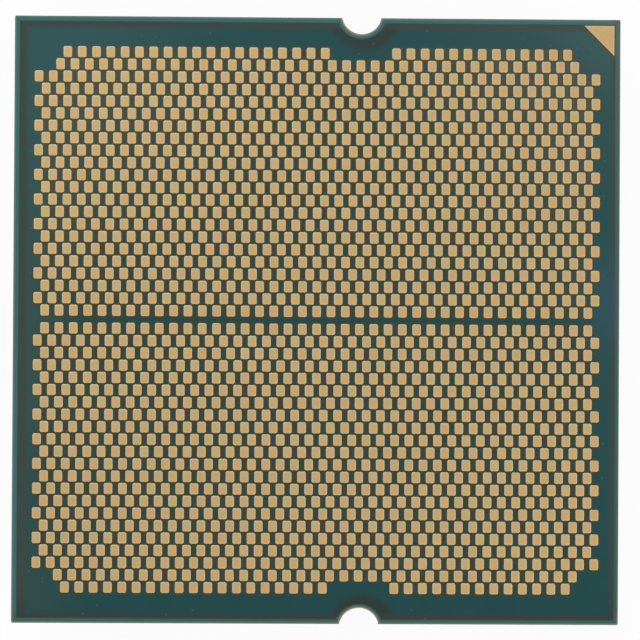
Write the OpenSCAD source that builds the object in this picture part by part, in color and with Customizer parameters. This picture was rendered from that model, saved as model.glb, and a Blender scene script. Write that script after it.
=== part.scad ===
// Land-grid computer processor: a square laminate board with gold contact lands on one face,
// and bare dies and capacitors under a plated metal lid on the other.
// The lid's outer face lies on z = 0 and the lands point up, along +Z.
// North is +Y and east is +X, as seen with the lands up.

/* [Board] */
// Side of the square laminate board
package_w = 40; // [38:0.5:46]
// Thickness of the board with its solder mask
board_t = 1.2; // [0.8:0.1:2]
// Radius of the board's four corners
board_r = 0.1; // [0.1:0.05:0.5]
// Radius of the key notch in the north edge and in the south edge
notch_r = 1.32; // [1:0.02:1.8]
// How far outside the edge a notch's centre lies
notch_out = 0.25; // [0:0.01:0.6]
// Distance of both notches from the middle of their edges, towards east
notch_x = 2.88; // [0:0.01:5]

/* [Lands] */
// Width of a contact land
land_w = 0.58; // [0.4:0.01:0.7]
// Length of a contact land
land_l = 0.74; // [0.5:0.01:0.78]
// Corner radius of a contact land
land_r = 0.12; // [0.05:0.01:0.18]
// Height of a contact land above the board
land_t = 0.03; // [0.02:0.01:0.1]
// Distance between neighbouring lands in a row, centre to centre
land_pitch = 0.943; // [0.9:0.001:1.1]
// Distance between neighbouring rows, centre to centre
row_pitch = 0.812; // [0.8:0.001:1]
// Distance between the inner rows of the two fields, centre to centre
field_gap = 1.174; // [0.9:0.002:2]
// Most rows that a field can have
field_rows = 22; // [6:1:24]
// Bare board between the board's edge and the nearest land
edge_clear = 1.2; // [1:0.1:4]
// Bare board across a corner: x and y of a land's centre add up to no more than the side less this
corner_clear = 5.4; // [4:0.1:10]
// Bare board between a notch's rim and the nearest land's centre
notch_clear = 1.95; // [1.2:0.05:4]

/* [Pin one marker] */
// Length of the triangle's two short sides
marker_l = 2; // [1.2:0.01:2.6]
// Distance of the triangle's short sides from the board's edges
marker_inset = 0.4; // [0.2:0.01:0.8]
// Thickness of the triangle
marker_t = 0.03; // [0.02:0.01:0.1]

/* [Lid] */
// Height of the lid from its outer face to the ends of its feet
lid_h = 3.4; // [3:0.1:5]
// Distance from the board's edge to the ends of the lid's arms
lid_margin = 1.2; // [0.8:0.1:2]
// Length of an arm beyond the lid's core
arm_l = 3.8; // [3.4:0.1:4.6]
// Width of an arm
arm_w = 7; // [5:0.1:8]
// Distance between the two arms of a side, centre to centre
arm_spread = 19; // [16:0.1:20]
// Corner radius of the lid's core and of its arms' ends
arm_r = 0.8; // [0.2:0.1:1.1]
// Length of the foot under an arm's end
foot_l = 2.6; // [1.5:0.1:3.4]
// Width of the ledge that a clamp presses, on the east and west arms
ledge_w = 2.2; // [1:0.1:2.8]
// Depth of that ledge below the lid's outer face
ledge_drop = 1.1; // [0.4:0.1:1.4]
// Thickness of the adhesive under a foot
adhesive_t = 0.1; // [0.05:0.01:0.3]
// How far the adhesive stays inside the foot's edges
adhesive_inset = 0.25; // [0:0.05:0.5]
// Corner radius of the adhesive
adhesive_r = 0.4; // [0.1:0.05:0.5]

/* [Dies] */
// Width of the input and output die
io_die_w = 12.6; // [8:0.1:16]
// Length of the input and output die
io_die_l = 9.7; // [6:0.1:11]
// Width of a compute die
compute_die_w = 9.4; // [6:0.1:11]
// Length of a compute die
compute_die_l = 7.4; // [5:0.1:10]
// Gap between neighbouring dies
die_gap = 1.8; // [1.4:0.1:3]
// Thickness of a die
die_t = 0.7; // [0.4:0.05:0.9]
// Height of the bumps that carry a die, which the underfill fills
underfill_t = 0.08; // [0.05:0.01:0.15]
// How far the underfill shows around a die
underfill_rim = 0.5; // [0.1:0.05:0.65]
// Thickness of the solder between a die and the lid
solder_t = 0.3; // [0.1:0.05:0.5]
// How far the solder stays inside a die's edges
solder_inset = 0.15; // [0:0.05:0.5]

/* [Capacitors] */
// Length of a capacitor with its terminals
cap_l = 1.6; // [1:0.1:2]
// Width of a capacitor
cap_w = 0.8; // [0.5:0.05:1.2]
// Height of a capacitor
cap_h = 0.8; // [0.4:0.05:0.9]
// Length of a terminal at a capacitor's end
cap_terminal = 0.3; // [0.1:0.05:0.45]
// Gap between neighbouring capacitors
cap_gap = 0.5; // [0.2:0.05:1]
// Least gap between a capacitor and the lid's arms and core, seen from above
cap_clear = 0.5; // [0.2:0.05:0.8]

/* [Hidden] */
// Segments of a full circle where a preview needs them
$fn = 48;
// Heights of the stack, from the lid's outer face up
board_z = lid_h + adhesive_t;
land_z = board_z + board_t;
plate_t = board_z - underfill_t - die_t - solder_t;
// Half of the board's side, and the y of the north notch's centre
half_w = package_w / 2;
notch_y = half_w + notch_out;
// Reach of the lid's arms from the middle, and half of the core's side
arm_reach = half_w - lid_margin;
core_half = arm_reach - arm_l;
// Corner radius of a foot, and the share of its length that the radius may take
foot_r_share = 0.45;
foot_r = min(arm_r, foot_r_share * foot_l);
// The two arms of a side, the turns that bring the north side to each side, and the feet in all
ARM_SIDES = [-1, 1];
SIDES = ["north", "west", "south", "east"];
TURNS = [0, 90, 180, 270];
foot_count = len(SIDES) * len(ARM_SIDES);
// Capacitors that fit between the two arms of a side, along the edge and across it
bank_w = arm_spread - arm_w;
cap_columns = floor((bank_w - 2 * cap_clear + cap_gap) / (cap_l + cap_gap));
cap_rows = floor((arm_l - 2 * cap_clear + cap_gap) / (cap_w + cap_gap));
// Margin by which a cutter runs past what it cuts
cut = 1;
// Centres of the dies
io_die_at = [0, -(die_gap + io_die_l) / 2];
left_die_at = [-(die_gap + compute_die_w) / 2, (die_gap + compute_die_l) / 2];
right_die_at = [(die_gap + compute_die_w) / 2, (die_gap + compute_die_l) / 2];
// Colours of the materials
MASK_TEAL = [0.18, 0.33, 0.34];
GOLD = [0.78, 0.66, 0.44];
NICKEL = [0.72, 0.71, 0.69];
RUBBER = [0.12, 0.12, 0.13];
SILICON = [0.30, 0.31, 0.35];
RESIN = [0.20, 0.16, 0.12];
INDIUM = [0.66, 0.67, 0.69];
CERAMIC = [0.50, 0.38, 0.28];
TIN = [0.76, 0.76, 0.75];

// Place of a land in the north field: rows count from the middle of the board outwards
function row_y(row) = field_gap / 2 + row * row_pitch;
function land_x(column, row) = (column + (row % 2) / 2) * land_pitch;

// A land is kept where it clears the edges, the cut corners and the notch
function is_clear(x, y) =
    abs(x) + land_w / 2 <= half_w - edge_clear
    && y + land_l / 2 <= half_w - edge_clear
    && abs(x) + y <= package_w - corner_clear
    && norm([x - notch_x, y - notch_y]) > notch_r + notch_clear;

last_column = ceil(half_w / land_pitch);
land_places = [
    for (row = [0:field_rows - 1])
        for (column = [-last_column:last_column])
            let (x = land_x(column, row), y = row_y(row))
                if (is_clear(x, y)) [x, y]
];

module rounded_rectangle(w, l, r) {
    square([w - 2 * r, l], center = true);
    square([w, l - 2 * r], center = true);
    for (x = [-1, 1], y = [-1, 1])
        translate([x * (w / 2 - r), y * (l / 2 - r)])
            circle(r);
}

// Board with its two key notches
module substrate() {
    color(MASK_TEAL)
        translate([0, 0, board_z])
            linear_extrude(board_t)
                difference() {
                    rounded_rectangle(package_w, package_w, board_r);
                    for (y = [-notch_y, notch_y])
                        translate([notch_x, y])
                            circle(notch_r);
                }
}

// One field of lands: side is 1 for the north field and -1 for the south field
module land_field(side) {
    color(GOLD)
        translate([0, 0, land_z])
            linear_extrude(land_t)
                for (place = land_places)
                    translate([place.x, side * place.y])
                        rounded_rectangle(land_w, land_l, land_r);
}

module upper_lands() {
    land_field(1);
}

module lower_lands() {
    land_field(-1);
}

// Triangle in the north-east corner, with its right angle towards that corner
module marker(z) {
    corner = half_w - marker_inset;
    color(GOLD)
        translate([0, 0, z])
            linear_extrude(marker_t)
                polygon([[corner - marker_l, corner], [corner, corner - marker_l], [corner, corner]]);
}

module pin_one_marker() {
    marker(land_z);
}

module pin_one_marker_lid_side() {
    marker(board_z - marker_t);
}

// Outline of the two arms on the north side, from the core's middle to their ends
module arm_pair_outline() {
    for (side = ARM_SIDES)
        translate([side * arm_spread / 2, arm_reach / 2])
            rounded_rectangle(arm_w, arm_reach, arm_r);
}

// Outline of the foot under one north arm's end, less an inset all round
module foot_outline(side, inset, r) {
    translate([side * arm_spread / 2, arm_reach - foot_l / 2])
        rounded_rectangle(arm_w - 2 * inset, foot_l - 2 * inset, r);
}

// Lid: a plate with eight arms, a foot under each arm and ledges on the east and west arms
module heat_spreader() {
    color(NICKEL)
        difference() {
            union() {
                linear_extrude(plate_t) {
                    rounded_rectangle(2 * core_half, 2 * core_half, arm_r);
                    for (turn = TURNS)
                        rotate(turn)
                            arm_pair_outline();
                }
                for (turn = TURNS)
                    rotate(turn)
                        linear_extrude(lid_h)
                            for (side = ARM_SIDES)
                                foot_outline(side, 0, foot_r);
            }
            for (x = [-1, 1])
                translate([x * (arm_reach - ledge_w / 2 + cut / 2), 0, (ledge_drop - cut) / 2])
                    cube([ledge_w + cut, package_w, ledge_drop + cut], center = true);
        }
}

// Adhesive pad under one foot, counted round the lid from the north side's west arm
module lid_adhesive(number) {
    color(RUBBER)
        rotate(TURNS[floor((number - 1) / 2)])
            translate([0, 0, lid_h])
                linear_extrude(adhesive_t)
                    foot_outline(ARM_SIDES[(number - 1) % 2], adhesive_inset, adhesive_r);
}

// Flat slab whose top lies a depth below the board's lid side
module slab(at, w, l, depth, t) {
    translate([at.x - w / 2, at.y - l / 2, board_z - depth - t])
        cube([w, l, t]);
}

module die(at, w, l) {
    color(SILICON)
        slab(at, w, l, underfill_t, die_t);
}

module underfill(at, w, l) {
    color(RESIN)
        slab(at, w + 2 * underfill_rim, l + 2 * underfill_rim, 0, underfill_t);
}

module solder(at, w, l) {
    color(INDIUM)
        slab(at, w - 2 * solder_inset, l - 2 * solder_inset, underfill_t + die_t, solder_t);
}

module io_die() {
    die(io_die_at, io_die_w, io_die_l);
}

module compute_die_left() {
    die(left_die_at, compute_die_w, compute_die_l);
}

module compute_die_right() {
    die(right_die_at, compute_die_w, compute_die_l);
}

module io_die_underfill() {
    underfill(io_die_at, io_die_w, io_die_l);
}

module compute_die_left_underfill() {
    underfill(left_die_at, compute_die_w, compute_die_l);
}

module compute_die_right_underfill() {
    underfill(right_die_at, compute_die_w, compute_die_l);
}

module io_die_solder() {
    solder(io_die_at, io_die_w, io_die_l);
}

module compute_die_left_solder() {
    solder(left_die_at, compute_die_w, compute_die_l);
}

module compute_die_right_solder() {
    solder(right_die_at, compute_die_w, compute_die_l);
}

// Places its children at each capacitor between the two arms of one side
module at_capacitors(turn) {
    rotate(turn)
        for (column = [0:cap_columns - 1], row = [0:cap_rows - 1])
            translate([
                (column - (cap_columns - 1) / 2) * (cap_l + cap_gap),
                core_half + arm_l / 2 + (row - (cap_rows - 1) / 2) * (cap_w + cap_gap),
                board_z - cap_h / 2
            ])
                children();
}

module capacitor_bodies(turn) {
    color(CERAMIC)
        at_capacitors(turn)
            cube([cap_l - 2 * cap_terminal, cap_w, cap_h], center = true);
}

module capacitor_terminals(turn) {
    color(TIN)
        at_capacitors(turn)
            for (end = [-1, 1])
                translate([end * (cap_l - cap_terminal) / 2, 0, 0])
                    cube([cap_terminal, cap_w, cap_h], center = true);
}

substrate();
upper_lands();
lower_lands();
pin_one_marker();
pin_one_marker_lid_side();
heat_spreader();
for (number = [1:foot_count])
    lid_adhesive(number);
io_die();
compute_die_left();
compute_die_right();
io_die_underfill();
compute_die_left_underfill();
compute_die_right_underfill();
io_die_solder();
compute_die_left_solder();
compute_die_right_solder();
for (place = [0:len(SIDES) - 1])
    capacitor_bodies(TURNS[place]);
for (place = [0:len(SIDES) - 1])
    capacitor_terminals(TURNS[place]);
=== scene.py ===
# %% [markdown]
# # Dressing a land grid processor
# A land grid processor is a flat stack: a square laminate board with two fields of gold lands on one face,
# and bare dies under a metal lid on the other. The solids of that stack are already drawn at their real
# size. They could be modelled again here, but then every size would have to be kept right in two places. So
# this lesson only dresses them: it loads the solids, gives each one a finish made of shader nodes, and adds
# the rounded shapes that a plain solid lacks. Everything is in metres, with the lid's outer face on the
# floor.

# %% Load the solids
import math

import bpy
import numpy as np
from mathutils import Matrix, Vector


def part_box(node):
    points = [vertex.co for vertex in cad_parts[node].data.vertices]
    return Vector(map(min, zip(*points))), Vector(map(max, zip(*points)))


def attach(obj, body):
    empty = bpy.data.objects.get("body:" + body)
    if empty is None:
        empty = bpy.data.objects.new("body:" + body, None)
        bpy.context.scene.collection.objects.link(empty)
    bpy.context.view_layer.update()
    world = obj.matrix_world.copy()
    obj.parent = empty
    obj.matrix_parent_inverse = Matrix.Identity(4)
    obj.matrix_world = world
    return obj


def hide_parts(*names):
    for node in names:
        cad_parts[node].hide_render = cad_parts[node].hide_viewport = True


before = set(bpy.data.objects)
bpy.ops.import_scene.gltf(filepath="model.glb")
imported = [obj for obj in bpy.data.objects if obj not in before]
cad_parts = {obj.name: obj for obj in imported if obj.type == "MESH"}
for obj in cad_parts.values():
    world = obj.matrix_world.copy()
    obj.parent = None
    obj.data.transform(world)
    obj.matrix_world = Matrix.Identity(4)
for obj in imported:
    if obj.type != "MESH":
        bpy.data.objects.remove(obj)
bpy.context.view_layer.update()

MM = 0.001

# %% [markdown]
# ## The camera
# The package is seen straight down on its lands, from about three widths away. A camera can be aimed with a
# constraint that follows a target, but this view never moves, so a place and three turns are enough. The
# long lens keeps the square nearly square. The small turns are what is left on a tripod that was set level
# by eye: with them every row of lands runs as it does in the picture.

# %% Camera
CAMERA_PLACE = Vector((-1.045, -0.744, 121.984)) * MM
CAMERA_TURN_DEG = (0.376, -0.621, 0.327)
LENS_MM = 100.0
SENSOR_MM = 36.0
NEAR_CLIP = 1 * MM

camera_data = bpy.data.cameras.new("bench_camera")
camera_data.lens = LENS_MM
camera_data.sensor_width = SENSOR_MM
camera_data.clip_start = NEAR_CLIP
camera = bpy.data.objects.new("bench_camera", camera_data)
camera.location = CAMERA_PLACE
camera.rotation_euler = [math.radians(turn) for turn in CAMERA_TURN_DEG]
bpy.context.scene.collection.objects.link(camera)
bpy.context.scene.camera = camera
print("camera at", [round(c / MM, 1) for c in camera.location], "mm, lens", LENS_MM, "mm")

# %% [markdown]
# ## Short words for nodes
# A finish is a small graph of nodes. It can be drawn by hand in the shader editor, but a script can be read
# line by line and run again. Written out in full, each node takes four or five lines, and the idea gets
# lost in them. These two helpers add a node in one line, and set the nodes out in rows, so the graph can
# still be opened.

# %% Node helpers
NODE_STEP = 190
NODES_PER_ROW = 12


def put(tree, kind, inputs=None, **settings):
    """Add a node, set its properties, and wire or set its inputs."""
    spot = len(tree.nodes)
    node = tree.nodes.new(kind)
    node.location = (NODE_STEP * (spot % NODES_PER_ROW), -NODE_STEP * (spot // NODES_PER_ROW))
    for name, value in settings.items():
        setattr(node, name, value)
    for socket, value in (inputs or {}).items():
        if isinstance(value, bpy.types.NodeSocket):
            tree.links.new(value, node.inputs[socket])
        else:
            node.inputs[socket].default_value = value
    return node


def calc(tree, operation, *values):
    """One Math node on numbers or outputs."""
    return put(tree, "ShaderNodeMath", dict(enumerate(values)), operation=operation).outputs[0]


print("nodes are set out in rows of", NODES_PER_ROW)

# %% [markdown]
# ## Where a point lies, in millimetres
# Every mark on the package has a place and a size that could be measured with a loupe. An unwrapped image
# could hold these marks, but it would blur at the size of a land's rim. So each finish starts from the
# place of the shaded point on the object. All finishes need it, so it is a node group: a graph with named
# inputs and outputs that is built once and then used like a single node.

# %% Place on the object
def new_group(name, inputs, outputs):
    """An empty node group: its tree, the values that come in and the sockets that go out, both by name."""
    tree = bpy.data.node_groups.new(name, "ShaderNodeTree")
    for label, default in inputs.items():
        socket = tree.interface.new_socket(label, in_out="INPUT", socket_type="NodeSocketFloat")
        socket.default_value = default
    for label in outputs:
        tree.interface.new_socket(label, in_out="OUTPUT", socket_type="NodeSocketFloat")
    return tree, put(tree, "NodeGroupInput").outputs, put(tree, "NodeGroupOutput").inputs


def use(tree, group, inputs=None):
    """Place a node group in a tree and give its outputs by name."""
    return put(tree, "ShaderNodeGroup", inputs, node_tree=group).outputs


place_group, _, leave = new_group("place in millimetres", {}, ["X", "Y", "Z"])
on_object = put(place_group, "ShaderNodeTexCoord").outputs["Object"]
scaled = put(place_group, "ShaderNodeVectorMath", {0: on_object, "Scale": 1 / MM}, operation="SCALE")
parted = put(place_group, "ShaderNodeSeparateXYZ", {0: scaled.outputs[0]})
for axis in "XYZ":
    place_group.links.new(parted.outputs[axis], leave[axis])


def place(tree):
    """The three coordinates of the shaded point, in millimetres."""
    return use(tree, place_group)


def place_vector(tree, stretch=(1.0, 1.0, 1.0)):
    """The shaded point as a vector in millimetres, stretched along each axis."""
    at = place(tree)
    parts = [calc(tree, "MULTIPLY", at[axis], scale) for axis, scale in zip("XYZ", stretch)]
    return put(tree, "ShaderNodeCombineXYZ", dict(enumerate(parts))).outputs[0]


print("group:", place_group.name)

# %% [markdown]
# ## Clouds of tone
# Plating, solder mask, ceramic and resin are all a shade lighter here and darker there, with no sharp
# border. This could be painted, but noise never repeats and takes its size as a number. Raw noise is mostly
# middle grey, so a soft step around the middle pulls it apart into two tones. Patch is the width of a
# cloud, and Edge says how slowly one tone gives way to the other.

# %% Clouds of tone
CLOUD_DETAIL = 3.0
NOISE_MIDDLE = 0.5


def noise(tree, scale, detail, stretch=(1.0, 1.0, 1.0)):
    """Noise from 0 to 1 with about scale spots to the millimetre."""
    inputs = {"Vector": place_vector(tree, stretch), "Scale": scale, "Detail": detail}
    return put(tree, "ShaderNodeTexNoise", inputs).outputs[0]


def fade(tree, value, start, end):
    """A mask that rises softly from 0 where value is start to 1 where it is end."""
    inputs = {"Value": value, "From Min": start, "From Max": end}
    return put(tree, "ShaderNodeMapRange", inputs, interpolation_type="SMOOTHSTEP").outputs["Result"]


clouds_group, entry, leave = new_group("clouds", {"Patch": 1.0, "Edge": 0.2}, ["Mask"])
patches = noise(clouds_group, calc(clouds_group, "DIVIDE", 1.0, entry["Patch"]), CLOUD_DETAIL)
low = calc(clouds_group, "SUBTRACT", NOISE_MIDDLE, entry["Edge"])
high = calc(clouds_group, "ADD", NOISE_MIDDLE, entry["Edge"])
clouds_group.links.new(fade(clouds_group, patches, low, high), leave["Mask"])


def clouds(tree, patch, edge=0.2):
    """A mask of soft patches, about as wide as patch."""
    return use(tree, clouds_group, {"Patch": patch, "Edge": edge})["Mask"]


print("group:", clouds_group.name)

# %% [markdown]
# ## Fine grain
# No surface here is a mirror. Each one rises and falls by a few thousandths of a millimetre or less, which
# scatters the light and makes the gloss uneven. A displaced mesh would need millions of faces for that, so
# the same noise feeds the roughness and a Bump node, which only tilts the normal. The group puts out plain
# numbers, and each material sets its own depth.

# %% Fine grain
GRAIN_DETAIL = 2.0


def span(tree, value, low, high):
    """A share from 0 to 1 spread over the range from low to high."""
    return put(tree, "ShaderNodeMapRange", {"Value": value, "To Min": low, "To Max": high}).outputs["Result"]


grain_inputs = {"Grain": 0.05, "Low": 0.3, "High": 0.5}
grain_group, entry, leave = new_group("fine grain", grain_inputs, ["Height", "Roughness"])
grains = noise(grain_group, calc(grain_group, "DIVIDE", 1.0, entry["Grain"]), GRAIN_DETAIL)
grain_group.links.new(grains, leave["Height"])
grain_group.links.new(span(grain_group, grains, entry["Low"], entry["High"]), leave["Roughness"])


def add_grain(tree, shader, grain, low, high, depth):
    """Break up a finish: roughness from low to high, and bumps of that depth in millimetres."""
    grains = use(tree, grain_group, {"Grain": grain, "Low": low, "High": high})
    bump = put(tree, "ShaderNodeBump", {"Distance": depth * MM, "Height": grains["Height"]})
    tree.links.new(grains["Roughness"], shader.inputs["Roughness"])
    tree.links.new(bump.outputs["Normal"], shader.inputs["Normal"])


print("group:", grain_group.name)

# %% [markdown]
# ## Dust specks
# A few specks of dust and pin holes lie on everything that has been handled. A particle system could
# scatter them, but each would be a mesh no wider than a pixel or two. A Voronoi texture parts the surface
# into cells and knows how far a point is from its cell's own centre, so a round spot is drawn there, in a
# chosen share of the cells.

# %% Dust specks
SPECK_CORE = 0.5

speck_inputs = {"Spacing": 1.0, "Radius": 0.04, "Share": 0.3}
specks_group, entry, leave = new_group("dust specks", speck_inputs, ["Mask"])
cells_per_mm = calc(specks_group, "DIVIDE", 1.0, entry["Spacing"])
cell_inputs = {"Vector": place_vector(specks_group), "Scale": cells_per_mm}
cells = put(specks_group, "ShaderNodeTexVoronoi", cell_inputs, voronoi_dimensions="2D").outputs
reach = calc(specks_group, "MULTIPLY", cells["Distance"], entry["Spacing"])
core = calc(specks_group, "MULTIPLY", entry["Radius"], SPECK_CORE)
round_spot = fade(specks_group, reach, entry["Radius"], core)
chance = put(specks_group, "ShaderNodeSeparateColor", {0: cells["Color"]}).outputs[0]
chosen = calc(specks_group, "LESS_THAN", chance, entry["Share"])
specks_group.links.new(calc(specks_group, "MULTIPLY", round_spot, chosen), leave["Mask"])


def specks(tree, spacing, radius, share):
    """A mask of small round spots in some of the cells of a loose grid."""
    return use(tree, specks_group, {"Spacing": spacing, "Radius": radius, "Share": share})["Mask"]


print("group:", specks_group.name)

# %% [markdown]
# ## Colours and materials
# A colour picker shows display levels from 0 to 255, and a shader works in linear light, so one helper
# turns the first into the second. Another lays one colour over the next through a mask, as paint goes over
# a stencil. The third makes a material from one Principled shader, which does for metal, resin and ceramic
# alike, so no shaders have to be mixed. A number that is the same all over sits on the shader's own socket.

# %% Colours and materials
def srgb(*levels):
    """A display colour, 0 to 255, as the linear colour that a socket holds."""
    shares = [level / 255 for level in levels]
    return tuple(s / 12.92 if s <= 0.04045 else ((s + 0.055) / 1.055) ** 2.4 for s in shares) + (1.0,)


def lay(tree, mask, below, above):
    """The colour above laid over the colour below where the mask is 1."""
    return put(tree, "ShaderNodeMix", {0: mask, 6: below, 7: above}, data_type="RGBA").outputs[2]


def new_finish(name, **constants):
    """A material with one Principled shader, whose plain numbers sit on its own sockets."""
    material = bpy.data.materials.new(name)
    material.use_nodes = True
    tree = material.node_tree
    shader = tree.nodes["Principled BSDF"]
    for label, value in constants.items():
        shader.inputs[label.replace("_", " ")].default_value = value
    return material, tree, shader


print("half of full display level, as a shader sees it:", round(srgb(127.5)[0], 3))

# %% [markdown]
# ## Gold plating
# A land is copper under a thin layer of nickel and gold. The gold is matt and a little uneven: it drifts
# from warm yellow to tan with a blush of pink, and the rim is painted paler than the middle, as a highlight
# of the light that its rounded edge catches. A material for each shade would mean hundreds of them. Instead
# each land's own lean, its tone and its painted rim highlight are stored on the mesh as attributes, because
# they belong to that land, and one material reads them.

# %% Gold finish
GOLD_WARM = srgb(187, 158, 94)
GOLD_TAN = srgb(176, 160, 117)
GOLD_PINK = srgb(199, 152, 110)
GOLD_RIM_HIGHLIGHT = srgb(179, 170, 139)
GOLD_PIT = srgb(150, 124, 84)
CLOUDS_TO_TAN = 0.7
LAND_TO_TAN = 0.3
BLUSH = 0.6

gold, tree, shader = new_finish("land_gold_finish", Metallic=1.0)


def attribute(tree, name):
    """A number stored on the mesh."""
    return put(tree, "ShaderNodeAttribute", attribute_name=name).outputs["Fac"]


patchy = calc(tree, "MULTIPLY", clouds(tree, patch=0.28, edge=0.08), CLOUDS_TO_TAN)
lean = calc(tree, "MULTIPLY_ADD", attribute(tree, "tint"), LAND_TO_TAN, patchy)
blush = calc(tree, "MULTIPLY", clouds(tree, patch=0.3, edge=0.08), BLUSH)
middle = lay(tree, blush, lay(tree, lean, GOLD_WARM, GOLD_TAN), GOLD_PINK)
pitted = lay(tree, specks(tree, spacing=0.5, radius=0.03, share=0.12), middle, GOLD_PIT)
# Painted highlight: the rim of each land is made paler, as the light caught by its rounded edge.
rimmed = lay(tree, attribute(tree, "rim"), pitted, GOLD_RIM_HIGHLIGHT)
toned = put(tree, "ShaderNodeHueSaturation", {"Value": attribute(tree, "tone"), "Color": rimmed})
tree.links.new(toned.outputs[0], shader.inputs["Base Color"])
add_grain(tree, shader, grain=0.03, low=0.32, high=0.52, depth=0.001)
print("finish:", gold.name, len(tree.nodes), "nodes")

# %% [markdown]
# ## Where the lands are
# The lands of one field stand in rows that are set half a pitch against each other, and the other field is
# its mirror image. Lands are left out near the corners and around the notches. Array modifiers could copy a
# land along a row, but they can't leave any out, so the same rule that places the solids is worked out
# again here, and the last land is measured against them.

# %% Places of the lands
LAND_W = 0.58
LAND_L = 0.74
LAND_R = 0.12
LAND_PITCH = 0.943
ROW_PITCH = 0.812
FIELD_GAP = 1.174
EDGE_CLEAR = 1.2
CORNER_CLEAR = 5.4
NOTCH_R = 1.32
NOTCH_OUT = 0.25
NOTCH_X = 2.88
NOTCH_CLEAR = 1.95

board_lo, board_hi = (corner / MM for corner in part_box("substrate"))
HALF_W = board_hi.x
NOTCH_Y = HALF_W + NOTCH_OUT
FIELD_EDGE = HALF_W - EDGE_CLEAR


def land_places():
    """Centres of the lands of the north field, row by row from the middle of the board."""
    rows = int((FIELD_EDGE - FIELD_GAP / 2) / ROW_PITCH) + 1
    last = math.ceil(HALF_W / LAND_PITCH)
    places = []
    for row in range(rows):
        y = FIELD_GAP / 2 + row * ROW_PITCH
        for column in range(-last, last + 1):
            x = (column + row % 2 / 2) * LAND_PITCH
            in_field = abs(x) + LAND_W / 2 <= FIELD_EDGE and y + LAND_L / 2 <= FIELD_EDGE
            in_corner = abs(x) + y > 2 * HALF_W - CORNER_CLEAR
            at_notch = math.hypot(x - NOTCH_X, y - NOTCH_Y) <= NOTCH_R + NOTCH_CLEAR
            if in_field and not in_corner and not at_notch:
                places.append((x, y))
    return np.array(places)


north_places = land_places()
field_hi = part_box("upper_lands")[1] / MM
reach_gap = field_hi.x - LAND_W / 2 - north_places[:, 0].max()
print(len(north_places), "lands in a field, off the solids by", round(reach_gap, 4), "mm")

# %% [markdown]
# ## The outline of a land
# Seen from above, a land is a rectangle with round corners. A plane with its corners bevelled would do, but
# its size could only be read off by opening the modifier. A list of points is just as short, and it can be
# drawn again a little smaller, which the next step needs.

# %% The outline of a land
CORNER_STEPS = 4
LEAST_R = 0.02


def round_corners(centres, radius):
    """Points round four corners, anticlockwise from the one in the north-east."""
    points = []
    for corner, (x, y) in enumerate(centres):
        for step in range(CORNER_STEPS):
            angle = math.pi / 2 * (corner + step / (CORNER_STEPS - 1))
            points.append((x + radius * math.cos(angle), y + radius * math.sin(angle)))
    return points


def land_outline(inset):
    """Outline of one land, drawn in from its edge by inset."""
    radius = max(LAND_R - inset, LEAST_R)
    x, y = LAND_W / 2 - inset - radius, LAND_L / 2 - inset - radius
    return round_corners([(x, y), (-x, y), (-x, -y), (x, -y)], radius)


print("one land outline has", len(land_outline(0)), "points")

# %% [markdown]
# ## A plate as a stack of rings
# A land stands a few hundredths of a millimetre above the board, and its plating rounds the upper edge. A
# Bevel modifier could do that, but one outline drawn again at several heights gives the same shoulder with
# far fewer faces, and there are well over a thousand lands. Each ring is drawn in a little further than the
# one below it, and a face at either end closes the plate.

# %% A plate as a stack of rings
# Inset and height of each ring as shares of the thickness, and its share of the painted rim highlight
SHOULDER = [
    (0.0, 0.0, 1.0),
    (0.0, 0.5, 1.0),
    (0.4, 0.85, 1.0),
    (1.2, 0.99, 0.95),
    (2.4, 1.0, 0.5),
    (4.6, 1.0, 0.0),
]


def plate_profile(thickness, base):
    """Inset and height of each ring of a plate on base. A thickness below 0 makes the plate hang."""
    return [(inset * abs(thickness), base + height * thickness) for inset, height, _ in SHOULDER]


def ring_band(lower, upper, count):
    """Faces between two rings of count vertices each, which start at the vertices lower and upper."""
    after = [(i + 1) % count for i in range(count)]
    return [(lower + i, lower + j, upper + j, upper + i) for i, j in enumerate(after)]


def ring_stack(outline, profile):
    """Vertices and faces of a closed plate: the outline once for each inset and height of the profile."""
    rings = [[(x, y, height) for x, y in outline(inset)] for inset, height in profile]
    count = len(rings[0])
    starts = [level * count for level in range(len(rings))]
    faces = [tuple(reversed(range(count)))]
    for lower, upper in zip(starts, starts[1:]):
        faces += ring_band(lower, upper, count)
    faces.append(tuple(range(starts[-1], starts[-1] + count)))
    return np.array([point for ring in rings for point in ring]), faces


print("a plate has", len(SHOULDER), "rings")

# %% [markdown]
# ## From numbers to a piece
# A mesh can be built face by face with bmesh, or all at once from lists. The lists win here, because the
# fields of lands hold many thousands of faces. A new piece takes its finish and rides on the package's one
# body. Its attributes keep one number for each vertex, for the finish to read.

# %% From numbers to a piece
def new_piece(name, vertices, faces, finish, smooth=True):
    """A mesh in millimetres as a piece of the package, riding on its one body."""
    mesh = bpy.data.meshes.new(name)
    mesh.from_pydata((np.asarray(vertices) * MM).tolist(), [], faces)
    mesh.materials.append(finish)
    mesh.polygons.foreach_set("use_smooth", [smooth] * len(faces))
    piece = bpy.data.objects.new(name, mesh)
    bpy.context.scene.collection.objects.link(piece)
    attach(piece, "root")
    return piece


def store(piece, name, values):
    """Keep one number per vertex for the finish to read."""
    layer = piece.data.attributes.new(name, "FLOAT", "POINT")
    layer.data.foreach_set("value", np.asarray(values, np.float32))


# %% [markdown]
# ## The two fields of contacts
# On the board each field is plated in one bath, so its lands are alike and yet no two are the same.
# Instances would be lighter, but each field stands for one node of the part and is built as one mesh. So
# numpy copies the plate to every place in one step, and seeded random numbers give each copy its tint and
# its tone, the same ones in every run.

# %% The two fields of contacts
LAND_T = (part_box("upper_lands")[1].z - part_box("upper_lands")[0].z) / MM
TONE_SPREAD = 0.012
CONTACT_SEED = 11


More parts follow.
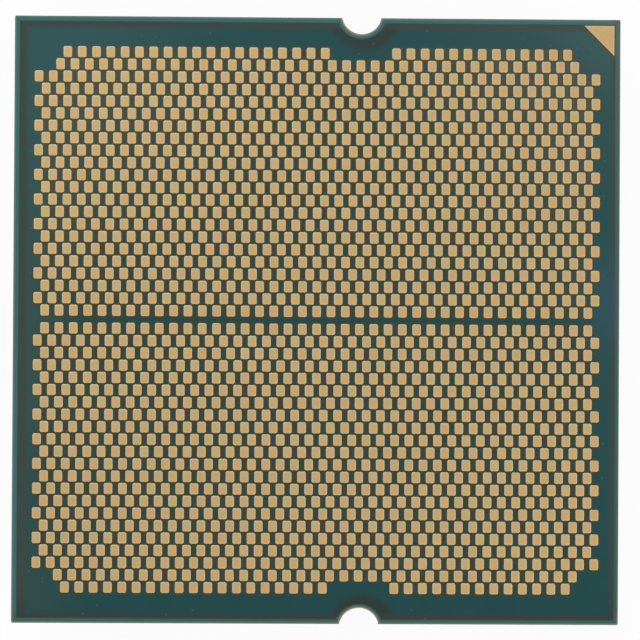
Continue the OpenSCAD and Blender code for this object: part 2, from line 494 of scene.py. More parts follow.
def store_gold(piece, tints, tones):
    """Give each vertex its ring's share of the painted rim highlight, and the tint and tone of its own
    plate.
    """
    per_plate = len(piece.data.vertices) // len(tints)
    rims = np.repeat([rim for _, _, rim in SHOULDER], per_plate // len(SHOULDER))
    store(piece, "rim", np.tile(rims, len(tints)))
    store(piece, "tint", np.repeat(tints, per_plate))
    store(piece, "tone", np.repeat(tones, per_plate))


def contact_field(name, node, side, random):
    """All contacts of one field as one piece: side is 1 for the north field and -1 for the south field."""
    vertices, faces = ring_stack(land_outline, plate_profile(LAND_T, board_hi.z))
    count = len(north_places)
    centres = np.column_stack([north_places[:, 0], side * north_places[:, 1], np.zeros(count)])
    all_vertices = (centres[:, None, :] + vertices[None, :, :]).reshape(-1, 3)
    starts = range(0, len(all_vertices), len(vertices))
    all_faces = [tuple(i + start for i in face) for start in starts for face in faces]
    piece = new_piece(name, all_vertices, all_faces, gold)
    tints = random.random(count)
    tones = random.normal(1.0, TONE_SPREAD, count)
    store_gold(piece, tints, tones)
    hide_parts(node)
    return piece


random = np.random.default_rng(CONTACT_SEED)
upper_contacts = contact_field("upper_contacts", "upper_lands", 1, random)
lower_contacts = contact_field("lower_contacts", "lower_lands", -1, random)
for piece in (upper_contacts, lower_contacts):
    print(piece.name, len(piece.data.polygons), "faces")

# %% [markdown]
# ## The corner triangles
# A gold triangle in one corner shows which way round the package goes in its socket, on both faces of the
# board. It could be a patch of colour in the board's finish, but it is plated with the lands and stands as
# high. So it is a plate of its own, with the same shoulder and the same gold.

# %% Corner triangles
MARKER_TINT = 0.2
MARKER_TONE = 1.02


def marker_piece(name, node, up):
    """A triangle plate with its right angle in the corner. Up is 1 on the contact side, and else -1."""
    lo, hi = (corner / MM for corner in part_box(node))

    def outline(inset):
        """The triangle, drawn in from its three sides by inset."""
        far = inset * (1 + math.sqrt(2))
        points = [(hi.x - inset, hi.y - inset), (lo.x + far, hi.y - inset), (hi.x - inset, lo.y + far)]
        return points if up > 0 else points[::-1]

    base = lo.z if up > 0 else hi.z
    vertices, faces = ring_stack(outline, plate_profile(up * (hi.z - lo.z), base))
    piece = new_piece(name, vertices, faces, gold, smooth=False)
    store_gold(piece, [MARKER_TINT], [MARKER_TONE])
    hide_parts(node)
    return piece


corner_marker = marker_piece("corner_marker", "pin_one_marker", 1)
corner_marker_lid_side = marker_piece("corner_marker_lid_side", "pin_one_marker_lid_side", -1)
print("triangles:", corner_marker.name, corner_marker_lid_side.name)

# %% [markdown]
# ## Is there a land?
# The board's finish changes close to a land and between two lands, so it has to know where they are. A
# texture of the field could be baked, but the lands follow a rule, and a few sums give the exact answer at
# any distance from the camera. This first group takes a place where a land could be, and asks the rule
# whether one is there.

# %% Is there a land?
def distance_2d(tree, across, along):
    """Length of the vector whose two parts are given."""
    squares = calc(tree, "MULTIPLY", across, across)
    return calc(tree, "SQRT", calc(tree, "MULTIPLY_ADD", along, along, squares))


kept_group, entry, leave = new_group("land is there", {"Centre X": 0.0, "Centre Y": 0.0}, ["Kept"])
land_x, land_y = entry["Centre X"], entry["Centre Y"]
reach_x = calc(kept_group, "ABSOLUTE", land_x)
to_corner = calc(kept_group, "ADD", reach_x, land_y)
to_notch = distance_2d(
    kept_group,
    calc(kept_group, "SUBTRACT", land_x, NOTCH_X),
    calc(kept_group, "SUBTRACT", land_y, NOTCH_Y),
)
tests = [
    ("GREATER_THAN", land_y, 0.0),
    ("LESS_THAN", reach_x, FIELD_EDGE - LAND_W / 2),
    ("LESS_THAN", land_y, FIELD_EDGE - LAND_L / 2),
    ("LESS_THAN", to_corner, 2 * HALF_W - CORNER_CLEAR),
    ("GREATER_THAN", to_notch, NOTCH_R + NOTCH_CLEAR),
]
kept = 1.0
for test in tests:
    kept = calc(kept_group, "MULTIPLY", kept, calc(kept_group, *test))
kept_group.links.new(kept, leave["Kept"])
print("group:", kept_group.name, len(kept_group.nodes), "nodes")

# %% [markdown]
# ## One row of lands
# Within a row the lands stand one pitch apart. Their centres could be listed, but a row has up to forty of
# them. Rounding to a whole pitch, after taking off the half pitch of every other row, finds the nearest one
# at once. The distance to its rounded edge follows from how far the point lies past the straight part of
# each side, and a land that the rule leaves out is moved far away. The group also tells whether a point
# lies between two lands.

# %% One row of lands
ROW_SOFT = 0.05

row_inputs = {"Across": 0.0, "From middle": 0.0, "Row": 0.0}
row_group, entry, leave = new_group("one land row", row_inputs, ["Distance", "Between"])
shift = calc(row_group, "MULTIPLY", calc(row_group, "MODULO", entry["Row"], 2.0), 0.5)
columns = calc(row_group, "SUBTRACT", calc(row_group, "DIVIDE", entry["Across"], LAND_PITCH), shift)
column = calc(row_group, "ADD", calc(row_group, "ROUND", columns), shift)
centre_x = calc(row_group, "MULTIPLY", column, LAND_PITCH)
centre_y = calc(row_group, "MULTIPLY_ADD", entry["Row"], ROW_PITCH, FIELD_GAP / 2)
beyond = calc(row_group, "SUBTRACT", entry["Across"], centre_x)
next_x = calc(row_group, "MULTIPLY_ADD", calc(row_group, "SIGN", beyond), LAND_PITCH, centre_x)


def is_land(tree, x, y):
    """1 where the rule keeps a land with its centre at x and y, and 0 elsewhere."""
    return use(tree, kept_group, {"Centre X": x, "Centre Y": y})["Kept"]


here = is_land(row_group, centre_x, centre_y)
beside = is_land(row_group, next_x, centre_y)
off_x = calc(row_group, "ABSOLUTE", beyond)
off_y = calc(row_group, "ABSOLUTE", calc(row_group, "SUBTRACT", entry["From middle"], centre_y))
past_x = calc(row_group, "MAXIMUM", calc(row_group, "SUBTRACT", off_x, LAND_W / 2 - LAND_R), 0.0)
past_y = calc(row_group, "MAXIMUM", calc(row_group, "SUBTRACT", off_y, LAND_L / 2 - LAND_R), 0.0)
from_edge = calc(row_group, "SUBTRACT", distance_2d(row_group, past_x, past_y), LAND_R)
far_if_left_out = calc(row_group, "SUBTRACT", HALF_W, calc(row_group, "MULTIPLY", here, HALF_W))
row_group.links.new(calc(row_group, "ADD", from_edge, far_if_left_out), leave["Distance"])
in_row = fade(row_group, off_y, LAND_L / 2 + ROW_SOFT, LAND_L / 2 - ROW_SOFT)
between_two = calc(row_group, "MULTIPLY", here, beside)
row_group.links.new(calc(row_group, "MULTIPLY", in_row, between_two), leave["Between"])
print("group:", row_group.name, len(row_group.nodes), "nodes")

# %% [markdown]
# ## The two nearest rows
# Any point of a field lies between two rows, so the nearest land is in one of those two. Looking at every
# row would give the same answer with ten times the nodes. The south field mirrors the north field, so the
# distance from the board's middle line serves for both.

# %% The two nearest rows
lands_group, entry, leave = new_group("distance to a land", {"X": 0.0, "Y": 0.0}, ["Distance", "Between"])
from_middle = calc(lands_group, "ABSOLUTE", entry["Y"])
past_first = calc(lands_group, "SUBTRACT", from_middle, FIELD_GAP / 2)
row_below = calc(lands_group, "FLOOR", calc(lands_group, "DIVIDE", past_first, ROW_PITCH))
row_above = calc(lands_group, "ADD", row_below, 1.0)
nearest_rows = []
for row in (row_below, row_above):
    inputs = {"Across": entry["X"], "From middle": from_middle, "Row": row}
    nearest_rows.append(use(lands_group, row_group, inputs))
for label, operation in (("Distance", "MINIMUM"), ("Between", "MAXIMUM")):
    combined = calc(lands_group, operation, *(row[label] for row in nearest_rows))
    lands_group.links.new(combined, leave[label])
print("group:", lands_group.name, len(lands_group.nodes), "nodes")

# %% [markdown]
# ## Solder mask over copper
# The board is glass fibre laminate under a film of dark teal solder mask. What lies under the film shows
# through it, and plain copper gives the plain teal. The film is a little deeper in clouds, and painted
# light makes it a little paler towards the north-east. An image could be painted with all this, but every
# mark on the board follows one of its sizes, so the finish works them out from the place on it, one layer
# over the other, as a printer lays inks.

# %% Solder mask over copper
MASK_FIELD = srgb(29, 72, 73)
MASK_DEEP = srgb(27, 68, 69)
PAINTED_LIGHT_NORTH_EAST = srgb(35, 75, 77)
# Here and below, a drift is where a colour starts to come in and where it is full, in millimetres
NORTH_EAST_DRIFT = (-4.0, 22.0)

board_finish, tree, shader = new_finish("board_mask_finish", Specular_IOR_Level=0.12)
at = place(tree)
x, y, z = at["X"], at["Y"], at["Z"]
size_x = calc(tree, "ABSOLUTE", x)
size_y = calc(tree, "ABSOLUTE", y)
to_north_east = calc(tree, "ADD", x, y)
to_south_east = calc(tree, "SUBTRACT", x, y)

film = lay(tree, clouds(tree, patch=1.1, edge=0.25), MASK_FIELD, MASK_DEEP)
# Painted light: the film is made paler towards the north-east, where the light falls brighter.
film = lay(tree, fade(tree, to_north_east, *NORTH_EAST_DRIFT), film, PAINTED_LIGHT_NORTH_EAST)
print("film over copper:", len(tree.nodes), "nodes")

# %% [markdown]
# ## The line between the fields
# A narrow line of bare mask runs between the two fields. The copper under it is cut into patches, so it
# turns from blue to green and back. It could be a piece of geometry, but nothing stands up there, so it is
# a mask on the distance from the middle line.

# %% The line between the fields
MASK_MIDDLE_BLUE = srgb(29, 68, 73)
MASK_MIDDLE_GREEN = srgb(38, 68, 58)
MIDDLE_LINE = (0.22, 0.11)

middle_colour = lay(tree, clouds(tree, patch=0.6, edge=0.12), MASK_MIDDLE_BLUE, MASK_MIDDLE_GREEN)
in_middle = fade(tree, size_y, *MIDDLE_LINE)
beside_lands = fade(tree, size_x, FIELD_EDGE, FIELD_EDGE - LAND_PITCH)
film = lay(tree, calc(tree, "MULTIPLY", in_middle, beside_lands), film, middle_colour)
print("line between the fields:", len(tree.nodes), "nodes so far")

# %% [markdown]
# ## Painted glare at the margins
# Towards the west edge and in two corners the film is painted paler, as a soft glare of light over it.
# Gradient textures could draw that, each with its own mapping. A soft step on the place is the same thing in
# one node, and its two limits say in millimetres where the change begins and ends.

# %% Painted glare at the margins
GLARE_WEST = srgb(48, 78, 75)
GLARE_SOUTH_WEST = srgb(42, 74, 72)
GLARE_NORTH_WEST = srgb(46, 84, 84)
GLARE_NORTH_EAST_CORNER = srgb(49, 83, 85)
WEST_DRIFT = (-14.5, -19.0)
SOUTH_WEST_DRIFT = (-6.0, -12.0)
NORTH_WEST_DRIFT = (-20.0, -36.0)
CORNER_DRIFT = (32.0, 37.0)

# Painted glare: paler film towards the west (weaker in the south-west), the north-west and north-east
# corner.
west_glare = lay(tree, fade(tree, y, *SOUTH_WEST_DRIFT), GLARE_WEST, GLARE_SOUTH_WEST)
film = lay(tree, fade(tree, x, *WEST_DRIFT), film, west_glare)
film = lay(tree, fade(tree, to_south_east, *NORTH_WEST_DRIFT), film, GLARE_NORTH_WEST)
film = lay(tree, fade(tree, to_north_east, *CORNER_DRIFT), film, GLARE_NORTH_EAST_CORNER)
print("paler margins:", len(tree.nodes), "nodes so far")

# %% [markdown]
# ## Gaps between the lands
# In the small gaps between neighbouring lands the mask lies over bare laminate, so it is darker than over
# copper, and it changes from green to grey to blue. Painted glare pales it towards the two north corners.
# Each gap could be painted, but the group of distances knows them all, so one mask is enough.

# %% Gaps between the lands
MASK_GAP_GREEN = srgb(45, 66, 49)
MASK_GAP_GREY = srgb(58, 62, 61)
MASK_GAP_BLUE = srgb(38, 69, 67)
# Colour of painted glare, used over the gaps and towards the north-east corner
GLARE_HAZE = srgb(105, 112, 105)
GAP_BLUE = 0.55
GAP_GLARE = 0.22
GAP_GLARE_DRIFT = (14.0, 34.0)

lands = use(tree, lands_group, {"X": x, "Y": y})
gap_colour = lay(tree, clouds(tree, patch=0.7, edge=0.1), MASK_GAP_GREEN, MASK_GAP_GREY)
gap_blue = calc(tree, "MULTIPLY", clouds(tree, patch=0.55, edge=0.08), GAP_BLUE)
gap_colour = lay(tree, gap_blue, gap_colour, MASK_GAP_BLUE)
# Painted glare: a pale veil over the gaps towards the two north corners.
to_north_corners = fade(tree, calc(tree, "ADD", size_x, y), *GAP_GLARE_DRIFT)
gap_glare = calc(tree, "MULTIPLY", to_north_corners, GAP_GLARE)
gap_colour = lay(tree, gap_glare, gap_colour, GLARE_HAZE)
film = lay(tree, lands["Between"], film, gap_colour)
print("gaps between lands:", len(tree.nodes), "nodes so far")

# %% [markdown]
# ## Clearance at the notches
# The copper keeps a round clearance from each notch, so that the cutter never meets it, and the mask is
# dark there. The clearance lies a little to the east of the notch, as layers of a board are never quite in
# line, and in the south it is a little narrower. Each notch could have a mask of its own, but both lie at
# the same place across, so the distance from the middle line serves for the two.

# %% Clearance at the notches
MASK_CLEARANCE = srgb(46, 62, 61)
MASK_CLEARANCE_SOUTH = srgb(42, 56, 54)
CLEARANCE_R = 2.38
CLEARANCE_EAST = 0.25
CLEARANCE_SOFT = 0.3
CLEARANCE_NARROWS = 0.2
SOUTH_HALF = (0.0, -1.0)

notch_along = calc(tree, "SUBTRACT", size_y, NOTCH_Y)
notch_across = calc(tree, "SUBTRACT", x, NOTCH_X)
south = fade(tree, y, *SOUTH_HALF)
clearance = distance_2d(tree, calc(tree, "SUBTRACT", notch_across, CLEARANCE_EAST), notch_along)
clearance = calc(tree, "MULTIPLY_ADD", south, CLEARANCE_NARROWS, clearance)
at_clearance = fade(tree, clearance, CLEARANCE_R + CLEARANCE_SOFT, CLEARANCE_R - CLEARANCE_SOFT)
clear_colour = lay(tree, south, MASK_CLEARANCE, MASK_CLEARANCE_SOUTH)
film = lay(tree, at_clearance, film, clear_colour)
print("clearance at the notches:", len(tree.nodes), "nodes so far")

# %% [markdown]
# ## The band where the copper ends
# Copper stops short of the board's edge, and beyond it the mask lies over bare laminate in a dark, brownish
# band. The copper never lies quite in the middle of the board, so the band is wider on one side than on the
# other. A single distance from the edge couldn't show that, so each side has its own limit, and the nearest
# one counts.

# %% The band where the copper ends
MASK_BAND = srgb(55, 70, 67)
MASK_BAND_BROWN = srgb(60, 66, 63)
MASK_BAND_SOUTH = srgb(52, 61, 55)
COPPER_WEST = -19.12
COPPER_EAST = 19.42
COPPER_SOUTH = -19.36
COPPER_NORTH = 19.26
COPPER_SOFT = 0.25
SOUTH_BAND_DRIFT = (-18.0, -19.3)

copper_sides = [
    calc(tree, "SUBTRACT", x, COPPER_WEST),
    calc(tree, "SUBTRACT", COPPER_EAST, x),
    calc(tree, "SUBTRACT", y, COPPER_SOUTH),
    calc(tree, "SUBTRACT", COPPER_NORTH, y),
]
copper_in = copper_sides[0]
for side in copper_sides[1:]:
    copper_in = calc(tree, "MINIMUM", copper_in, side)
on_band = fade(tree, copper_in, COPPER_SOFT, -COPPER_SOFT)
band_colour = lay(tree, clouds(tree, patch=0.8, edge=0.15), MASK_BAND, MASK_BAND_BROWN)
band_colour = lay(tree, fade(tree, y, *SOUTH_BAND_DRIFT), band_colour, MASK_BAND_SOUTH)
print("band:", len(tree.nodes), "nodes so far")

# %% [markdown]
# ## The bare strip along the edge
# Along the edge and round the notches the mask is left off, so that the saw and the cutter don't tear it,
# and the bare laminate is pale; towards the south and east it is greyer, which is painted shade. Beside it
# the film's own edge draws a thin dark line, deepened with painted shade at its step. A strip of mesh could
# lie on the board for that, but it would be thinner than a hair, so both are masks on the distance from the
# edge.

# %% The bare strip along the edge
FILM_EDGE_LINE_SHADE = srgb(43, 63, 60)
MASK_STRIP = srgb(60, 104, 99)
STRIP_PAINTED_SHADE = srgb(57, 90, 82)
MASK_STRIP_PALE = srgb(78, 104, 95)
STRIP_SOUTH_PAINTED_SHADE = srgb(60, 95, 86)
STRIP_W = 0.34
STRIP_NARROWS = 0.04
STRIP_SOFT = 0.05
LINE_W = 0.1
RIM_W = 0.31
RIM_NARROWS = 0.06
SOUTH_EAST_DRIFT = (-4.0, 24.0)
PALE_CORNER_DRIFT = (37.0, 38.6)
SOUTH_EDGE_DRIFT = (-19.0, -19.6)

edge_in = calc(tree, "SUBTRACT", HALF_W, calc(tree, "MAXIMUM", size_x, size_y))
rim_in = calc(tree, "SUBTRACT", distance_2d(tree, notch_across, notch_along), NOTCH_R)
south_east = fade(tree, to_south_east, *SOUTH_EAST_DRIFT)
south_edge = fade(tree, y, *SOUTH_EDGE_DRIFT)
# Painted shade: the strip is greyer towards the south-east and along the south edge.
strip_colour = lay(tree, south_east, MASK_STRIP, STRIP_PAINTED_SHADE)
strip_colour = lay(tree, fade(tree, to_north_east, *PALE_CORNER_DRIFT), strip_colour, MASK_STRIP_PALE)
strip_colour = lay(tree, south_edge, strip_colour, STRIP_SOUTH_PAINTED_SHADE)
strip_in = calc(tree, "MULTIPLY_ADD", south_east, STRIP_NARROWS, edge_in)
rim_strip_in = calc(tree, "MULTIPLY_ADD", south, RIM_NARROWS, rim_in)
on_edge_strip = fade(tree, strip_in, STRIP_W + STRIP_SOFT, STRIP_W - STRIP_SOFT)
on_rim_strip = fade(tree, rim_strip_in, RIM_W + STRIP_SOFT, RIM_W - STRIP_SOFT)
on_strip = calc(tree, "MAXIMUM", on_edge_strip, on_rim_strip)
# Partly painted shade: a dark line where the film steps down to the bare strip.
on_film_edge_shade = fade(tree, strip_in, STRIP_W + LINE_W, STRIP_W)
print("strip:", len(tree.nodes), "nodes so far")

# %% [markdown]
# ## The sawn edge and the cut notches
# The very edge, where the saw went through, is paler still, and the notches show cut fibres, grey on one
# side and scorched brown on the other. These marks lie on both faces of the board, and so do the band, the
# strip and a little dust. They could be built twice. A function lays them over whatever film it is given
# instead.

# %% The sawn edge and the cut notches
SAWN_EDGE = srgb(92, 122, 117)
SAWN_EAST = srgb(86, 105, 94)
SAWN_SOUTH = srgb(106, 117, 112)
CUT_GREY = srgb(128, 132, 125)
CUT_BROWN = srgb(160, 130, 100)
MASK_SPECK = srgb(74, 94, 91)
SAWN_FADE = (0.16, 0.056)
EAST_EDGE_DRIFT = (19.0, 19.6)
CUT_FADE = (0.2, 0.0)
SCORCH_DRIFT = (1.1, -0.2)

on_sawn = fade(tree, edge_in, *SAWN_FADE)
sawn_colour = lay(tree, fade(tree, x, *EAST_EDGE_DRIFT), SAWN_EDGE, SAWN_EAST)
sawn_colour = lay(tree, south_edge, sawn_colour, SAWN_SOUTH)
on_cut = fade(tree, rim_in, *CUT_FADE)
cut_colour = lay(tree, fade(tree, notch_across, *SCORCH_DRIFT), CUT_GREY, CUT_BROWN)
dust = specks(tree, spacing=0.9, radius=0.06, share=0.1)
edge_marks = [
    (on_band, band_colour),
    (dust, MASK_SPECK),
    (on_film_edge_shade, FILM_EDGE_LINE_SHADE),
    (on_strip, strip_colour),
    (on_sawn, sawn_colour),
    (on_cut, cut_colour),
]


def lay_marks(tree, film, marks):
    """Colours laid over a film one after the other, each through its own mask."""
    for mask, colour in marks:
        film = lay(tree, mask, film, colour)
    return film


print("sawn edge and cuts:", len(tree.nodes), "nodes so far")

# %% [markdown]
# ## Collars and painted shade round the gold
# Around each land and around the triangle the mask ends in a thin collar, dark and brown where the metal's
# edge shows through it, and darker still with painted shade at the foot of the metal. Modelling the film's
# edge would take a hole for every land. The distance to the nearest gold is already there for the lands,
# and for the triangle it is the greatest of the distances past its sides.

# %% Collars and painted shade round the gold
COLLAR_SHADE_NORTH = srgb(89, 74, 31)
COLLAR_SHADE_SOUTH = srgb(74, 60, 18)
COLLAR_DRIFT = (-4.0, 16.0)
COLLAR_FADE = (0.11, 0.0275)

corner_lo, corner_hi = (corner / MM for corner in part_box("pin_one_marker"))
past_long_side = calc(tree, "SUBTRACT", corner_lo.x + corner_hi.y, to_north_east)
past_long_side = calc(tree, "MULTIPLY", past_long_side, math.sqrt(0.5))
past_short_sides = calc(tree, "SUBTRACT", calc(tree, "MAXIMUM", x, y), corner_hi.x)
marker_distance = calc(tree, "MAXIMUM", past_long_side, past_short_sides)
metal_distance = calc(tree, "MINIMUM", lands["Distance"], marker_distance)
# Partly painted shade: the dark collar also stands in for the shade at the foot of each land.
on_collar_shade = fade(tree, metal_distance, *COLLAR_FADE)
collar_shade_colour = lay(tree, fade(tree, y, *COLLAR_DRIFT), COLLAR_SHADE_SOUTH, COLLAR_SHADE_NORTH)
print("collars:", len(tree.nodes), "nodes so far")

# %% [markdown]
# ## Painted glare and sheen
# A pale haze of painted glare lies towards one corner, and a painted blue sheen lies at the middle of the
# east edge. A lamp could throw such a sheen, but then it would slide over the board when the board turns.
# So both are painted on the film and laid over it with the collars, and that makes the contact side whole.

# %% Painted glare and sheen
PAINTED_SHEEN_BLUE = srgb(60, 95, 115)
CORNER_GLARE_SHARE = 0.09
CORNER_GLARE_DRIFT = (22.0, 36.0)
SHEEN = 0.25
SHEEN_Y = 1.5
SHEEN_REACH = 6.0

# Painted glare and painted sheen, laid on the film so that they stay put when the board turns.
corner_glare = calc(tree, "MULTIPLY", fade(tree, to_north_east, *CORNER_GLARE_DRIFT), CORNER_GLARE_SHARE)
from_sheen = distance_2d(tree, calc(tree, "SUBTRACT", x, HALF_W), calc(tree, "SUBTRACT", y, SHEEN_Y))
sheen = calc(tree, "MULTIPLY", fade(tree, from_sheen, SHEEN_REACH, 0.0), SHEEN)
contact_marks = [(corner_glare, GLARE_HAZE), (sheen, PAINTED_SHEEN_BLUE), (on_collar_shade, collar_shade_colour)]
contact_side = lay_marks(tree, film, edge_marks + contact_marks)
print("contact side:", len(tree.nodes), "nodes so far")

# %% [markdown]
# ## Layers in the board's side
# The sawn side shows how the board is made: a core of woven glass, and on each face a few thin layers of
# resin and copper. Separate solids for the layers would be thinner than a sheet of paper, so the finish
# counts them from the nearer face. Noise that is stretched flat draws the glass threads.

# %% Layers in the board's side
GLASS_TAN = srgb(150, 139, 111)
GLASS_DARK = srgb(134, 122, 96)
RESIN_LAYER = srgb(98, 92, 72)
COPPER_LAYER = srgb(126, 88, 62)
LAYER_T = 0.06
COPPER_SHARE = (0.68, 0.74)
BUILD_UP_FADE = (0.24, 0.228)
FIBRE_STRETCH = (2.2, 2.2, 20.0)
FIBRE_DETAIL = 2.0
FIBRE_FADE = (0.38, 0.62)

depth = calc(tree, "SUBTRACT", board_hi.z, z)
from_face = calc(tree, "MINIMUM", depth, calc(tree, "SUBTRACT", z, board_lo.z))
fibres = noise(tree, 1.0, FIBRE_DETAIL, FIBRE_STRETCH)
glass = lay(tree, fade(tree, fibres, *FIBRE_FADE), GLASS_TAN, GLASS_DARK)
layer_share = calc(tree, "FRACT", calc(tree, "DIVIDE", from_face, LAYER_T))
layers = lay(tree, fade(tree, layer_share, *COPPER_SHARE), RESIN_LAYER, COPPER_LAYER)
wall_colour = lay(tree, fade(tree, from_face, *BUILD_UP_FADE), glass, layers)
print("side of the board:", len(tree.nodes), "nodes so far")

# %% [markdown]
# ## The board's faces and side together
# The lid side has the same film and the same edges, but no lands. Each face could have a material of its
# own, set face by face, but the solid's mesh stays as it is. So the height of the point tells the faces
# apart: below the middle it is the lid side, and deeper than the film it is the sawn wall.

# %% The board's faces and side together
FILM_FADE = (0.03, 0.039)

lid_film = lay(tree, clouds(tree, patch=1.6, edge=0.25), MASK_FIELD, MASK_DEEP)
lid_side = lay_marks(tree, lid_film, edge_marks)
on_lid_side = calc(tree, "LESS_THAN", z, (board_lo.z + board_hi.z) / 2)
face_colour = lay(tree, on_lid_side, contact_side, lid_side)
on_wall = fade(tree, from_face, *FILM_FADE)
tree.links.new(lay(tree, on_wall, face_colour, wall_colour), shader.inputs["Base Color"])
add_grain(tree, shader, grain=0.06, low=0.34, high=0.5, depth=0.002)
print("finish:", board_finish.name, len(tree.nodes), "nodes")

# %% [markdown]
# ## Soft edges on the solids
# No real edge is a knife edge, and an edge shows itself by the light that it catches. The edges could be
# rounded by hand, but the solids keep their own mesh, so three modifiers do it: Weld joins the corners that
# the file keeps apart, Decimate makes each flat face whole, because the slanting edges of its triangles
# would pinch the rounding, and Bevel rounds every sharp edge. Bevel isn't clamped: the short edges of a
# round corner would hold it to a few thousandths of a millimetre. A vertex group can keep the rounding to
# the low edges of a solid.

# %% Dress a solid
SHARP_DEG = 35.0
FLAT_DEG = 0.5
WELD_GAP = 0.0005


def dress(node, finish, edge, segments=2, below=None):
    """Give a solid its finish, and round its edges by edge millimetres, or only those below a height."""
    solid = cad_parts[node]
    for material_slot in solid.material_slots:
        material_slot.material = finish
    weld = solid.modifiers.new("weld", "WELD")
    weld.merge_threshold = WELD_GAP * MM
    join = solid.modifiers.new("whole_faces", "DECIMATE")
    join.decimate_type = "DISSOLVE"
    join.angle_limit = math.radians(FLAT_DEG)
    bevel = solid.modifiers.new("soft_edges", "BEVEL")
    bevel.width = edge * MM
    bevel.segments = segments
    bevel.limit_method = "ANGLE"
    bevel.angle_limit = math.radians(SHARP_DEG)
    bevel.use_clamp_overlap = False
    bevel.harden_normals = True
    if below is not None:
        low = solid.vertex_groups.new(name="low_edges")
        low.add([v.index for v in solid.data.vertices if v.co.z < below * MM], 1.0, "REPLACE")
        bevel.limit_method = "VGROUP"
        bevel.vertex_group = low.name


dress("substrate", board_finish, edge=0.02)
print("dressed: substrate")

# %% [markdown]
# ## The lid
# The lid is a copper stamping plated with satin nickel. Its face is rubbed flat with a fine abrasive, which
# leaves hair lines in one direction. Anisotropic shading could hint at them, but stretched noise draws each
# line: short steps across the lines and long ones along them. Only the edges near the outer face are
# rounded. Higher up, where the feet stand on the arms, the rounding would cut into itself in the inner
# corners.

# %% Nickel finish and lid
NICKEL_LIGHT = srgb(181, 178, 172)
NICKEL_DARK = srgb(173, 170, 164)
NICKEL_DULL = srgb(154, 151, 145)
HAIR_STRETCH = (0.14, 14.0, 14.0)
HAIR_DETAIL = 4.0
HAIR_FADE = (0.55, 0.75)

nickel, tree, shader = new_finish("lid_nickel_finish", Metallic=1.0)
hairs = noise(tree, 1.0, HAIR_DETAIL, HAIR_STRETCH)
plated = lay(tree, clouds(tree, patch=4.0, edge=0.3), NICKEL_LIGHT, NICKEL_DARK)
rubbed = lay(tree, fade(tree, hairs, *HAIR_FADE), plated, NICKEL_DULL)
dull = lay(tree, specks(tree, spacing=1.6, radius=0.05, share=0.2), rubbed, NICKEL_DULL)
tree.links.new(dull, shader.inputs["Base Color"])
add_grain(tree, shader, grain=0.08, low=0.26, high=0.44, depth=0.002)
dress("heat_spreader", nickel, edge=0.25, segments=4, below=1.5)
print("finish:", nickel.name, len(tree.nodes), "nodes")

# %% [markdown]
# ## Adhesive under the feet
# Grey silicone holds the lid's feet on the board. It is cured rubber, dull and a little blotchy. It could
# share one plain grey with everything dark, but light reaches in between the arms, so it gets its own two
# tones. The next finishes are made of two tones as well, so a helper makes them.

# %% Adhesive under the feet
SILICONE = srgb(54, 55, 58)
SILICONE_DARK = srgb(40, 41, 44)


def two_tone(name, light, dark, patch, **constants):
    """A finish whose colour drifts between two tones, in clouds about as wide as patch."""
    finish, tree, shader = new_finish(name, **constants)
    tree.links.new(lay(tree, clouds(tree, patch), light, dark), shader.inputs["Base Color"])
    return finish, tree, shader


silicone, tree, shader = two_tone(
    "lid_adhesive_finish", SILICONE, SILICONE_DARK, patch=0.5, Specular_IOR_Level=0.3
)
add_grain(tree, shader, grain=0.04, low=0.5, high=0.75, depth=0.004)
adhesives = sorted(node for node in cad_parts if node.startswith("lid_adhesive"))
for node in adhesives:
    dress(node, silicone, edge=0.04, segments=3)
print("finish:", silicone.name, "on", len(adhesives), "pads")

# %% [markdown]
# ## Dies, resin and die solder
# Each die is a polished slice of silicon. It hangs on its bumps with brown resin drawn in beneath it, and
# indium solder fills the gap to the lid. A thin film on the shader could give the silicon rainbow colours,
# but its back is bare here, so a dark half-metal with little roughness comes closest. Little of all this
# shows, but the package can be turned over.

# %% Dies, resin and die solder
SILICON = srgb(84, 87, 96)
SILICON_TINT = srgb(74, 74, 88)
RESIN = srgb(58, 46, 35)
RESIN_DARK = srgb(42, 33, 26)
INDIUM = srgb(176, 178, 182)
INDIUM_DULL = srgb(150, 152, 156)

silicon, tree, shader = two_tone("die_silicon_finish", SILICON, SILICON_TINT, patch=3.0, Metallic=0.7)
add_grain(tree, shader, grain=0.1, low=0.1, high=0.22, depth=0.0005)
resin, tree, shader = two_tone(
    "underfill_resin_finish", RESIN, RESIN_DARK, patch=0.6, Specular_IOR_Level=0.4
)
add_grain(tree, shader, grain=0.05, low=0.3, high=0.5, depth=0.003)
indium, tree, shader = two_tone("die_solder_finish", INDIUM, INDIUM_DULL, patch=0.4, Metallic=1.0)
add_grain(tree, shader, grain=0.07, low=0.3, high=0.5, depth=0.004)

dies = ["io_die", "compute_die_left", "compute_die_right"]
for die in dies:
    dress(die, silicon, edge=0.02)
    dress(die + "_underfill", resin, edge=0.03, segments=3)
    dress(die + "_solder", indium, edge=0.03, segments=3)
print("finishes:", silicon.name, resin.name, indium.name, "on", len(dies), "dies")

# %% [markdown]
# ## Fillets of resin
# Resin creeps up a die's sides before it cures and leaves a hollow fillet all round. Its section is close
# to a quarter of a circle, hollow on the outside. A curve with a bevel could carry that section round the
# die, but a list of rings that grow outwards from the die's own outline is simpler, and it closes on itself.

# %% Fillets of resin
FILLET_STEPS = 6
RESIN_CLIMB = 0.35
RESIN_SPREAD = 0.42
LEAST_OUT = 1e-4


def grown_rectangle(lo, hi, out):
    """Outline of a box seen from above, grown outwards by out with round corners."""
    return round_corners([(hi.x, hi.y), (lo.x, hi.y), (lo.x, lo.y), (hi.x, lo.y)], out)


def hollow_section(spread, climb):
    """Points of a hollow quarter round, from the top of the climb down to the end of the spread."""
    turns = [math.pi / 2 * step / FILLET_STEPS for step in range(FILLET_STEPS + 1)]
    return [(spread * (1 - math.cos(turn)), climb * (1 - math.sin(turn))) for turn in turns]


